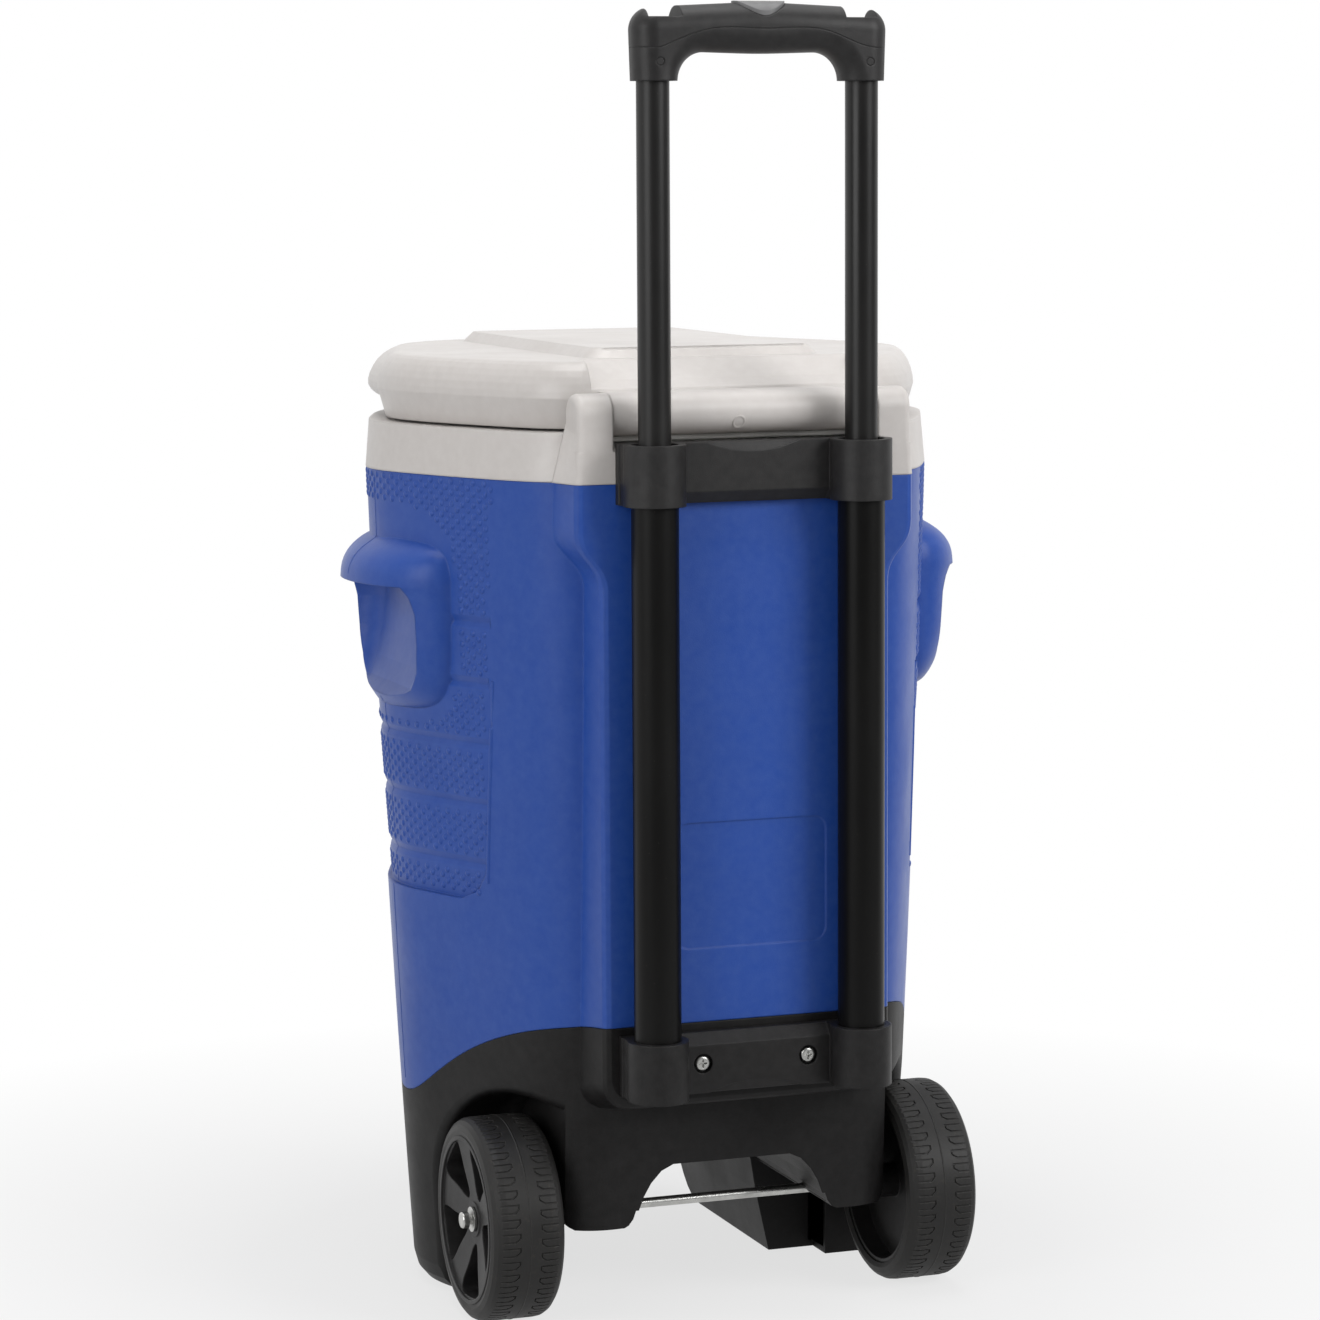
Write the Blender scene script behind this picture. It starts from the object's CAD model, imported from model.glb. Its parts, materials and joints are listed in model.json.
import bpy
import json
import math
from mathutils import Matrix, Vector
from mathutils.bvhtree import BVHTree


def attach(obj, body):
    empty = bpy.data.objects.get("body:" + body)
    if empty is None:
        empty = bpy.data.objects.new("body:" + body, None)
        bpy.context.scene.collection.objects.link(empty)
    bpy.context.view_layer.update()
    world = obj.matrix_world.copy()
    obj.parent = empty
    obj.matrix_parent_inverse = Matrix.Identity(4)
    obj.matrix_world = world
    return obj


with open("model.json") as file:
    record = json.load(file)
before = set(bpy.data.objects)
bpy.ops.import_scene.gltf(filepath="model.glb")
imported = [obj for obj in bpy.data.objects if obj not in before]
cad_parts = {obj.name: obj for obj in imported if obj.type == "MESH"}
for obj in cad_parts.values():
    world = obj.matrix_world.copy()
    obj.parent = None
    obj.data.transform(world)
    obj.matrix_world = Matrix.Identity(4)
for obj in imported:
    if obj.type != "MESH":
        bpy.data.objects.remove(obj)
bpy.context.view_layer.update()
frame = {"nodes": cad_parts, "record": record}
MM = 0.001

# Side panels of the body, in mm: rear edge with its lean, grooves and the place of the side handle

SIDE_Y = -5.0
OUTSIDE_X = 300.0
PANEL_REAR_Y = 84.0
PANEL_LEAN = 0.086
GROOVES = 5
GROOVE_LOW_Z = 272.0
GROOVE_PITCH = 36.4
GROOVE_CLEAR = 5.6
HANDLE_Z = 418.5
HANDLE_CLEAR_Y = 76.5
HANDLE_CLEAR_Z = 66.0

# Raised dots, in mm: each ring is a share of the dot's radius and a height over the skin

DOTS_LOW_Z = 252.0
DOTS_HIGH_Z = 500.5
DOTS_REACH_Y = 103.0
DOTS_MARGIN = 2.4
DOT_STEP = 4.6
DOT_ROW = 6.6
DOT_R = 2.1
DOT_CORNERS = 10
DOT_SPACING_Z = 492.0
SEARCH_STEP = 0.25
DOT_RINGS = ((1.0, -0.08), (0.86, 0.34), (0.52, 0.66))
DOT_HEIGHT = 0.80

# Moulding marks, in mm: each ring of the gate mark is a radius and a height over the skin

MARK_ROOT = -0.1
MARK_STEP = 1.5
SEAM_LOW_Z = (128.0, 366.0)
SEAM_HIGH_Z = (440.0, 501.0)
SEAM_HALF = 0.35
SEAM_HEIGHT = 0.22
RIB_Z = (262.0, 384.0)
RIB_BEHIND_DOTS = 5.2
RIB_HALF = 1.6
RIB_HEIGHT = 0.7
GATE_X = 4.0
GATE_Z = 536.0
GATE_FROM_Y = 190.0
GATE_CORNERS = 28
GATE_RINGS = ((4.2, MARK_ROOT), (3.9, 0.45), (3.0, 0.45), (2.6, MARK_ROOT))

# Studio: places in metres, angles in degrees, and the lens from its focal length in photograph pixels

FLOOR_WHITE = 0.72
FLOOR_GREYS = ((0.50, 0.50, 0.50), (0.53, 0.53, 0.53))
FLOOR_FADE = (0.25, 0.75)
WORLD_LIGHT = 0.32
ROOM_MIRRORED = 0.25
CAMERA_PLACE = (0.8680, 2.4253, 0.69505)
CAMERA_YAW = 19.786
CAMERA_PITCH = 6.996
CAMERA_ROLL = -0.318
FOCAL_PX = 4199.0
PHOTO_PX = 1320.0
SENSOR_MM = 36.0


# Shader nodes

def new_material(name):
    """Empty node material with its Principled shader."""
    mat = bpy.data.materials.new(name)
    mat.use_nodes = True
    tree = mat.node_tree
    tree.nodes.clear()
    out = tree.nodes.new("ShaderNodeOutputMaterial")
    shader = tree.nodes.new("ShaderNodeBsdfPrincipled")
    tree.links.new(shader.outputs["BSDF"], out.inputs["Surface"])
    return mat, tree, shader


def object_coords(tree):
    """Coordinates that stay on the object, in metres."""
    return tree.nodes.new("ShaderNodeTexCoord").outputs["Object"]


def ramp(tree, source, low, high, start=0.0, end=1.0):
    """Maps a value from low..high to start..end."""
    node = tree.nodes.new("ShaderNodeMapRange")
    node.clamp = True
    node.inputs["From Min"].default_value = low
    node.inputs["From Max"].default_value = high
    node.inputs["To Min"].default_value = start
    node.inputs["To Max"].default_value = end
    tree.links.new(source, node.inputs["Value"])
    return node.outputs["Result"]


def math_node(tree, operation, a, b):
    """Maths on two sockets or numbers."""
    node = tree.nodes.new("ShaderNodeMath")
    node.operation = operation
    for i, value in enumerate((a, b)):
        if isinstance(value, (int, float)):
            node.inputs[i].default_value = value
        else:
            tree.links.new(value, node.inputs[i])
    return node.outputs[0]


def mix_color(tree, factor, a, b):
    """Mixes two colours or colour sockets."""
    node = tree.nodes.new("ShaderNodeMix")
    node.data_type = "RGBA"
    if isinstance(factor, (int, float)):
        node.inputs[0].default_value = factor
    else:
        tree.links.new(factor, node.inputs[0])
    for slot_index, value in ((6, a), (7, b)):
        if isinstance(value, (tuple, list)):
            node.inputs[slot_index].default_value = (*value[:3], 1.0)
        else:
            tree.links.new(value, node.inputs[slot_index])
    return node.outputs[2]


def noise(tree, coords, scale, detail=3.0, rough=0.55, stretch=None):
    """Noise value at a scale in cycles per metre."""
    node = tree.nodes.new("ShaderNodeTexNoise")
    node.inputs["Scale"].default_value = scale
    node.inputs["Detail"].default_value = detail
    node.inputs["Roughness"].default_value = rough
    if stretch:
        mapping = tree.nodes.new("ShaderNodeMapping")
        mapping.inputs["Scale"].default_value = stretch
        tree.links.new(coords, mapping.inputs["Vector"])
        coords = mapping.outputs["Vector"]
    tree.links.new(coords, node.inputs["Vector"])
    return node.outputs["Fac"]


def cells(tree, coords, scale):
    """Distance from the nearest cell's middle, at a scale in cells per metre."""
    node = tree.nodes.new("ShaderNodeTexVoronoi")
    node.inputs["Scale"].default_value = scale
    tree.links.new(coords, node.inputs["Vector"])
    return node.outputs["Distance"]


def bump(tree, height, strength, depth, normal=None):
    """Normal of a bumpy surface of some depth in metres, on top of another normal."""
    node = tree.nodes.new("ShaderNodeBump")
    node.inputs["Strength"].default_value = strength
    node.inputs["Distance"].default_value = depth
    tree.links.new(height, node.inputs["Height"])
    if normal is not None:
        tree.links.new(normal, node.inputs["Normal"])
    return node.outputs["Normal"]


def edge_mask(tree, radius):
    """Bevelled normal, and a mask that is high along edges."""
    bevel = tree.nodes.new("ShaderNodeBevel")
    bevel.samples = 6
    bevel.inputs["Radius"].default_value = radius
    geometry = tree.nodes.new("ShaderNodeNewGeometry")
    dot = tree.nodes.new("ShaderNodeVectorMath")
    dot.operation = "DOT_PRODUCT"
    tree.links.new(bevel.outputs["Normal"], dot.inputs[0])
    tree.links.new(geometry.outputs["Normal"], dot.inputs[1])
    return bevel.outputs["Normal"], ramp(tree, dot.outputs["Value"], 0.97, 0.80)


# Materials

def moulded_plastic(name, color, dark, light, rough, grain, grain_depth, edge, scuff, gloss=0.5):
    """Moulded plastic: fine grain, cloudy colour, faint scratches and paler worn edges."""
    mat, tree, shader = new_material(name)
    coords = object_coords(tree)
    cloud = noise(tree, coords, 9.0, 4.0)
    fine = noise(tree, coords, 160.0)
    base = mix_color(tree, ramp(tree, cloud, 0.35, 0.68), dark, color)
    base = mix_color(tree, ramp(tree, fine, 0.30, 0.75, 0.0, 0.35), base, light)
    normal, edges = edge_mask(tree, edge)
    worn = math_node(tree, "MULTIPLY", edges, ramp(tree, noise(tree, coords, 60.0), 0.40, 0.70, 0.25, 1.0))
    base = mix_color(tree, math_node(tree, "MULTIPLY", worn, scuff), base, light)
    scratch = noise(tree, coords, 26.0, 6.0, 0.75, (1.0, 1.0, 26.0))
    scratch = ramp(tree, scratch, 0.66, 0.70, 0.0, 0.30)
    base = mix_color(tree, math_node(tree, "MULTIPLY", scratch, 0.35), base, light)
    tree.links.new(base, shader.inputs["Base Color"])
    pits = noise(tree, coords, grain * 1.4, 2.0)
    height = math_node(tree, "ADD", math_node(tree, "MULTIPLY", cells(tree, coords, grain), 0.8), pits)
    normal = bump(tree, noise(tree, coords, 14.0, 2.0), 0.35, 0.0012, normal)
    normal = bump(tree, height, 0.55, grain_depth, normal)
    tree.links.new(normal, shader.inputs["Normal"])
    roughness = ramp(tree, noise(tree, coords, 22.0, 5.0), 0.30, 0.72, rough - 0.06, rough + 0.08)
    roughness = math_node(tree, "ADD", roughness, math_node(tree, "MULTIPLY", scratch, 0.2))
    tree.links.new(roughness, shader.inputs["Roughness"])
    shader.inputs["Specular IOR Level"].default_value = gloss
    return mat


def coated_tube(name, low, high, gloss):
    """Black coated steel tube with fine draw lines and specks of dust."""
    mat, tree, shader = new_material(name)
    coords = object_coords(tree)
    lines = noise(tree, coords, 700.0, 3.0, 0.6, (1.0, 1.0, 0.015))
    cloud = noise(tree, coords, 30.0, 4.0, 0.6, (1.0, 1.0, 0.3))
    specks = ramp(tree, noise(tree, coords, 900.0, 2.0), 0.74, 0.78, 0.0, 0.5)
    base = mix_color(tree, ramp(tree, cloud, 0.3, 0.7), low, high)
    base = mix_color(tree, specks, base, (0.10, 0.09, 0.08))
    tree.links.new(base, shader.inputs["Base Color"])
    normal, _ = edge_mask(tree, 0.0005)
    tree.links.new(bump(tree, lines, 0.35, 0.00004, normal), shader.inputs["Normal"])
    tree.links.new(ramp(tree, cloud, 0.3, 0.7, 0.30, 0.42), shader.inputs["Roughness"])
    shader.inputs["Specular IOR Level"].default_value = gloss
    return mat


def plated_steel(name, tint, rough):
    """Bright plated steel with turning marks and dull patches."""
    mat, tree, shader = new_material(name)
    coords = object_coords(tree)
    rings = noise(tree, coords, 1800.0, 2.0, 0.6, (1.0, 0.08, 0.08))
    cloud = noise(tree, coords, 120.0, 5.0)
    base = mix_color(tree, ramp(tree, cloud, 0.35, 0.7), tint, tuple(c * 0.72 for c in tint))
    tree.links.new(base, shader.inputs["Base Color"])
    shader.inputs["Metallic"].default_value = 1.0
    normal, _ = edge_mask(tree, 0.0003)
    tree.links.new(bump(tree, rings, 0.3, 0.00003, normal), shader.inputs["Normal"])
    tree.links.new(ramp(tree, cloud, 0.3, 0.7, rough, rough + 0.16), shader.inputs["Roughness"])
    return mat


def tyre_plastic(name):
    """Hard black tread with patches of dust and paler edges."""
    mat, tree, shader = new_material(name)
    coords = object_coords(tree)
    cloud = noise(tree, coords, 30.0, 4.0)
    dust = ramp(tree, noise(tree, coords, 240.0, 5.0, 0.7), 0.58, 0.78, 0.0, 0.55)
    base = mix_color(tree, ramp(tree, cloud, 0.3, 0.7), (0.0085, 0.0080, 0.0077), (0.0150, 0.0143, 0.0136))
    base = mix_color(tree, dust, base, (0.048, 0.041, 0.033))
    normal, edges = edge_mask(tree, 0.0006)
    base = mix_color(tree, math_node(tree, "MULTIPLY", edges, 0.5), base, (0.06, 0.058, 0.055))
    tree.links.new(base, shader.inputs["Base Color"])
    grain = noise(tree, coords, 1300.0)
    tree.links.new(bump(tree, grain, 0.6, 0.00009, normal), shader.inputs["Normal"])
    tree.links.new(ramp(tree, cloud, 0.3, 0.7, 0.46, 0.60), shader.inputs["Roughness"])
    shader.inputs["Specular IOR Level"].default_value = 0.34
    return mat


def cell_foam(name):
    """Cream foam with small cells."""
    mat, tree, shader = new_material(name)
    walls = cells(tree, object_coords(tree), 700.0)
    base = mix_color(tree, ramp(tree, walls, 0.1, 0.6), (0.52, 0.43, 0.24), (0.78, 0.70, 0.47))
    tree.links.new(base, shader.inputs["Base Color"])
    tree.links.new(bump(tree, walls, 1.0, 0.0004), shader.inputs["Normal"])
    shader.inputs["Roughness"].default_value = 0.85
    return mat


# One finish for each material slot, and the few nodes that have their own

FINISH = {
    "blue_plastic": moulded_plastic(
        "blue_moulding", color=(0.0135, 0.0640, 0.3300), dark=(0.0120, 0.0580, 0.3050),
        light=(0.0450, 0.1050, 0.3700), rough=0.40, grain=1400.0, grain_depth=0.00007,
        edge=0.0016, scuff=0.22, gloss=0.34),
    "black_plastic": moulded_plastic(
        "black_moulding", color=(0.0125, 0.0118, 0.0120), dark=(0.0095, 0.0090, 0.0092),
        light=(0.0340, 0.0330, 0.0330), rough=0.46, grain=1500.0, grain_depth=0.00008,
        edge=0.0012, scuff=0.30, gloss=0.32),
    "pale_plastic": moulded_plastic(
        "pale_moulding", color=(0.560, 0.530, 0.510), dark=(0.530, 0.500, 0.480),
        light=(0.640, 0.615, 0.595), rough=0.36, grain=1500.0, grain_depth=0.00004,
        edge=0.0020, scuff=0.20, gloss=0.45),
    "food_plastic": moulded_plastic(
        "food_moulding", color=(0.76, 0.77, 0.75), dark=(0.72, 0.73, 0.71),
        light=(0.84, 0.84, 0.83), rough=0.26, grain=900.0, grain_depth=0.00003,
        edge=0.0020, scuff=0.10),
    "grey_plastic": moulded_plastic(
        "grey_moulding", color=(0.130, 0.130, 0.132), dark=(0.105, 0.105, 0.107),
        light=(0.200, 0.200, 0.202), rough=0.40, grain=1500.0, grain_depth=0.00006,
        edge=0.0008, scuff=0.30, gloss=0.40),
    "foam": cell_foam("foam_cells"),
    "black_tube": coated_tube("coated_tube", (0.0050, 0.0048, 0.0046), (0.0085, 0.0080, 0.0078), 0.34),
    "steel": plated_steel("plated_steel", (0.60, 0.60, 0.58), 0.24),
    "tyre_plastic": tyre_plastic("tread_plastic"),
    "seal_rubber": moulded_plastic(
        "seal_rubber", color=(0.020, 0.020, 0.020), dark=(0.016, 0.016, 0.016),
        light=(0.050, 0.050, 0.050), rough=0.60, grain=1200.0, grain_depth=0.00006,
        edge=0.0006, scuff=0.10),
}

DARK_TUBE = coated_tube("dark_tube", (0.0026, 0.0025, 0.0024), (0.0042, 0.0040, 0.0038), 0.16)
OWN_FINISH = {
    "base_moulding": moulded_plastic(
        "base_black", color=(0.0068, 0.0064, 0.0065), dark=(0.0052, 0.0049, 0.0050),
        light=(0.0200, 0.0190, 0.0190), rough=0.50, grain=1500.0, grain_depth=0.00008,
        edge=0.0012, scuff=0.30, gloss=0.22),
    "lower_bracket": moulded_plastic(
        "bracket_black", color=(0.0090, 0.0085, 0.0086), dark=(0.0070, 0.0066, 0.0067),
        light=(0.0260, 0.0250, 0.0250), rough=0.48, grain=1500.0, grain_depth=0.00008,
        edge=0.0012, scuff=0.30, gloss=0.26),
    "outer_tube_left": DARK_TUBE,
    "outer_tube_right": DARK_TUBE,
}

slot_of = {entry["node"]: entry["material_slot"] for entry in frame["record"]["subparts"]}
for node_name, obj in frame["nodes"].items():
    obj.data.materials.clear()
    obj.data.materials.append(OWN_FINISH.get(node_name, FINISH[slot_of[node_name]]))


# Pieces that follow the moulded skin

def new_piece(name, points, faces, body, slot, smooth=False):
    """Mesh piece in a slot's finish, riding on a body."""
    mesh = bpy.data.meshes.new(name)
    mesh.from_pydata([tuple(p) for p in points], [], faces)
    mesh.validate()
    mesh.polygons.foreach_set("use_smooth", [smooth] * len(mesh.polygons))
    mesh.materials.append(FINISH[slot])
    piece = bpy.data.objects.new(name, mesh)
    bpy.context.collection.objects.link(piece)
    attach(piece, body)


def skin(node_name):
    """Search tree over the surface of a CAD node, in metres."""
    mesh = frame["nodes"][node_name].data
    points = [v.co.copy() for v in mesh.vertices]
    faces = [list(poly.vertices) for poly in mesh.polygons]
    return BVHTree.FromPolygons(points, faces)


def side_hit(tree, side, y, z):
    """Point and normal where a level line meets the side of the body, for y and z in mm."""
    start = Vector((side * OUTSIDE_X * MM, y * MM, z * MM))
    place, normal, _, _ = tree.ray_cast(start, Vector((-side, 0.0, 0.0)), OUTSIDE_X * MM)
    return place, normal


def dots_rear(z):
    """Rear edge of the dotted area at height z."""
    return PANEL_REAR_Y + (z - GROOVE_LOW_Z) * PANEL_LEAN - DOTS_MARGIN


# Raised dots of the side panels

def in_dots(y, z):
    """Whether a dot belongs at this place: on the panel, off the grooves and round the handle."""
    if not DOTS_LOW_Z < z < DOTS_HIGH_Z:
        return False
    if not 2 * SIDE_Y - dots_rear(z) < y < dots_rear(z):
        return False
    for i in range(GROOVES):
        if abs(z - (GROOVE_LOW_Z + i * GROOVE_PITCH)) < GROOVE_CLEAR:
            return False
    around = abs((y - SIDE_Y) / HANDLE_CLEAR_Y) ** 4 + abs((z - HANDLE_Z) / HANDLE_CLEAR_Z) ** 4
    return around > 1.0


def dot_columns(tree, side):
    """Places along Y that are evenly spaced along the curved side."""
    columns = []
    y = 2 * SIDE_Y - DOTS_REACH_Y
    travelled = DOT_STEP
    last = None
    while y < DOTS_REACH_Y:
        place, _ = side_hit(tree, side, y, DOT_SPACING_Z)
        if place is not None:
            if last is not None:
                travelled += (place - last).length / MM
            last = place
            if travelled >= DOT_STEP:
                columns.append(y)
                travelled = 0.0
        y += SEARCH_STEP
    return columns


def add_dot(points, faces, place, normal):
    """One small dome: rings that narrow towards a top point."""
    across = normal.cross(Vector((0, 0, 1))).normalized()
    up = normal.cross(across)
    first = len(points)
    for share, height in DOT_RINGS:
        for i in range(DOT_CORNERS):
            angle = 2 * math.pi * i / DOT_CORNERS
            flat = across * math.cos(angle) + up * math.sin(angle)
            points.append(place + flat * DOT_R * share * MM + normal * height * MM)
    top = len(points)
    points.append(place + normal * DOT_HEIGHT * MM)
    for low in range(first, top - DOT_CORNERS, DOT_CORNERS):
        for i in range(DOT_CORNERS):
            j = (i + 1) % DOT_CORNERS
            faces.append((low + i, low + j, low + DOT_CORNERS + j, low + DOT_CORNERS + i))
    last = top - DOT_CORNERS
    for i in range(DOT_CORNERS):
        faces.append((last + i, last + (i + 1) % DOT_CORNERS, top))


def raised_dots():
    """Staggered rows of small domes moulded into both sides."""
    tree = skin("body_shell")
    points = []
    faces = []
    for side in (1, -1):
        for column, y in enumerate(dot_columns(tree, side)):
            z = DOTS_LOW_Z + (DOT_ROW / 2 if column % 2 else 0.0)
            while z < DOTS_HIGH_Z:
                place, normal = side_hit(tree, side, y, z) if in_dots(y, z) else (None, None)
                if place is not None:
                    add_dot(points, faces, place, normal)
                z += DOT_ROW
    new_piece("side_dots", points, faces, "cooler", "blue_plastic", smooth=True)


# Moulding marks

def strip(name, rows, half, height):
    """Narrow raised line of the body, through places on its skin, each with its normal."""
    points = []
    faces = []
    for i, (place, normal) in enumerate(rows):
        ahead = rows[min(i + 1, len(rows) - 1)][0] - rows[max(i - 1, 0)][0]
        across = ahead.cross(normal).normalized()
        for share, lift in ((-1.0, MARK_ROOT), (-0.45, height), (0.45, height), (1.0, MARK_ROOT)):
            points.append(place + (across * share * half + normal * lift) * MM)
        if i:
            for j in range(3):
                first = 4 * i + j
                faces.append((first - 4, first, first + 1, first - 3))
    new_piece(name, points, faces, "cooler", "blue_plastic")


def side_rows(tree, side, low_z, high_z, rear_at):
    """Places and normals up the side of the body, at a rear distance given by height."""
    rows = []
    z = low_z
    while z <= high_z:
        place, normal = side_hit(tree, side, rear_at(z), z)
        if place is not None:
            rows.append((place, normal))
        z += MARK_STEP
    return rows


def moulding_marks():
    """Parting lines down both sides, and the rib along the panels' rear edge."""
    tree = skin("body_shell")
    for side, label in ((1, "left"), (-1, "right")):
        lower = side_rows(tree, side, *SEAM_LOW_Z, lambda z: SIDE_Y)
        upper = side_rows(tree, side, *SEAM_HIGH_Z, lambda z: SIDE_Y)
        strip("seam_low_" + label, lower, SEAM_HALF, SEAM_HEIGHT)
        strip("seam_high_" + label, upper, SEAM_HALF, SEAM_HEIGHT)
        rib = side_rows(tree, side, *RIB_Z, lambda z: dots_rear(z) + RIB_BEHIND_DOTS)
        strip("panel_rib_" + label, rib, RIB_HALF, RIB_HEIGHT)


def gate_mark():
    """Small raised ring left by the moulding gate on the hinge barrel."""
    tree = skin("lid_shell")
    points = []
    faces = []
    for i in range(GATE_CORNERS):
        angle = 2 * math.pi * i / GATE_CORNERS
        for r, lift in GATE_RINGS:
            x = (GATE_X + r * math.cos(angle)) * MM
            z = (GATE_Z + r * math.sin(angle)) * MM
            start = Vector((x, GATE_FROM_Y * MM, z))
            place, normal, _, _ = tree.ray_cast(start, Vector((0.0, -1.0, 0.0)), 0.1)
            points.append(place + normal * lift * MM)
    for i in range(GATE_CORNERS):
        j = (i + 1) % GATE_CORNERS
        for k in range(3):
            faces.append((4 * i + k, 4 * j + k, 4 * j + k + 1, 4 * i + k + 1))
    new_piece("gate_mark", points, faces, "lid", "pale_plastic")


raised_dots()
moulding_marks()
gate_mark()


# Floor, light and camera

def area_light(name, place, aim_z, size, power):
    """Soft square light aimed at a height on the Z axis."""
    data = bpy.data.lights.new(name, "AREA")
    data.shape = "SQUARE"
    data.size = size
    data.energy = power
    light = bpy.data.objects.new(name, data)
    bpy.context.collection.objects.link(light)
    light.location = place
    aim = Vector((0.0, 0.0, aim_z)) - Vector(place)
    light.rotation_euler = aim.to_track_quat("-Z", "Y").to_euler()


def pale_floor():
    """Large pale floor with a faint grain, which turns to plain white away from the object."""
    bpy.ops.mesh.primitive_plane_add(size=40.0, location=(0, 0, 0))
    floor = bpy.context.object
    floor.name = "floor"
    mat, tree, shader = new_material("floor_finish")
    coords = object_coords(tree)
    base = mix_color(tree, ramp(tree, noise(tree, coords, 3.0), 0.3, 0.7), *FLOOR_GREYS)
    tree.links.new(base, shader.inputs["Base Color"])
    shader.inputs["Roughness"].default_value = 0.9
    shader.inputs["Specular IOR Level"].default_value = 0.1
    glow = tree.nodes.new("ShaderNodeEmission")
    glow.inputs["Color"].default_value = (1.0, 1.0, 1.0, 1.0)
    glow.inputs["Strength"].default_value = 1.0
    length = tree.nodes.new("ShaderNodeVectorMath")
    length.operation = "LENGTH"
    tree.links.new(coords, length.inputs[0])
    share = ramp(tree, length.outputs["Value"], *FLOOR_FADE, FLOOR_WHITE, 1.0)
    seen = tree.nodes.new("ShaderNodeLightPath")
    view = math_node(tree, "MAXIMUM", seen.outputs["Is Camera Ray"], seen.outputs["Is Transmission Ray"])
    split = tree.nodes.new("ShaderNodeSeparateXYZ")
    tree.links.new(coords, split.inputs[0])
    mirrored = ramp(tree, split.outputs["Y"], 0.0, 0.5, 1.0, 0.0)
    mirrored = math_node(tree, "MULTIPLY", seen.outputs["Is Glossy Ray"], mirrored)
    view = math_node(tree, "MAXIMUM", view, mirrored)
    mix = tree.nodes.new("ShaderNodeMixShader")
    tree.links.new(math_node(tree, "MULTIPLY", share, view), mix.inputs["Fac"])
    tree.links.new(shader.outputs["BSDF"], mix.inputs[1])
    tree.links.new(glow.outputs["Emission"], mix.inputs[2])
    out = next(node for node in tree.nodes if node.type == "OUTPUT_MATERIAL")
    tree.links.new(mix.outputs["Shader"], out.inputs["Surface"])
    floor.data.materials.append(mat)


def white_world():
    """White backdrop, also in reflections towards it, and a dimmer room on the other side."""
    world = bpy.data.worlds.new("white_world")
    bpy.context.scene.world = world
    world.use_nodes = True
    tree = world.node_tree
    tree.nodes.clear()
    out = tree.nodes.new("ShaderNodeOutputWorld")
    back = tree.nodes.new("ShaderNodeBackground")
    split = tree.nodes.new("ShaderNodeSeparateXYZ")
    tree.links.new(tree.nodes.new("ShaderNodeTexCoord").outputs["Generated"], split.inputs[0])
    mirrored = ramp(tree, split.outputs["Y"], -0.15, 0.35, 1.0, ROOM_MIRRORED)
    path = tree.nodes.new("ShaderNodeLightPath")
    glossy = math_node(tree, "MULTIPLY", path.outputs["Is Glossy Ray"], mirrored)
    diffuse = math_node(tree, "SUBTRACT", 1.0, path.outputs["Is Glossy Ray"])
    diffuse = math_node(tree, "MULTIPLY", diffuse, WORLD_LIGHT)
    level = math_node(tree, "ADD", glossy, diffuse)
    level = math_node(tree, "MAXIMUM", level, path.outputs["Is Camera Ray"])
    level = math_node(tree, "MAXIMUM", level, path.outputs["Is Transmission Ray"])
    back.inputs["Color"].default_value = (1.0, 1.0, 1.0, 1.0)
    tree.links.new(level, back.inputs["Strength"])
    tree.links.new(back.outputs["Background"], out.inputs["Surface"])


def photo_camera():
    """Camera at the photograph's angle, distance and lens."""
    yaw = math.radians(CAMERA_YAW)
    pitch = math.radians(CAMERA_PITCH)
    roll = math.radians(CAMERA_ROLL)
    forward = Vector((-math.sin(yaw) * math.cos(pitch), -math.cos(yaw) * math.cos(pitch), -math.sin(pitch)))
    level = Vector((-math.cos(yaw), math.sin(yaw), 0.0))
    upright = level.cross(forward)
    right = level * math.cos(roll) + upright * math.sin(roll)
    up = upright * math.cos(roll) - level * math.sin(roll)
    data = bpy.data.cameras.new("camera")
    data.sensor_width = SENSOR_MM
    data.lens = SENSOR_MM * FOCAL_PX / PHOTO_PX
    data.clip_end = 100.0
    camera = bpy.data.objects.new("camera", data)
    bpy.context.collection.objects.link(camera)
    turn = Matrix((right, up, -forward)).transposed().to_4x4()
    camera.matrix_world = Matrix.Translation(CAMERA_PLACE) @ turn
    bpy.context.scene.camera = camera


pale_floor()
white_world()
area_light("key", (-1.5, 1.9, 1.5), aim_z=0.35, size=1.2, power=40.0)
area_light("fill", (2.0, 1.2, 1.1), aim_z=0.35, size=1.4, power=24.0)
area_light("top", (0.0, 0.2, 2.6), aim_z=0.40, size=1.6, power=33.0)
photo_camera()
bpy.context.scene.view_settings.view_transform = "Standard"
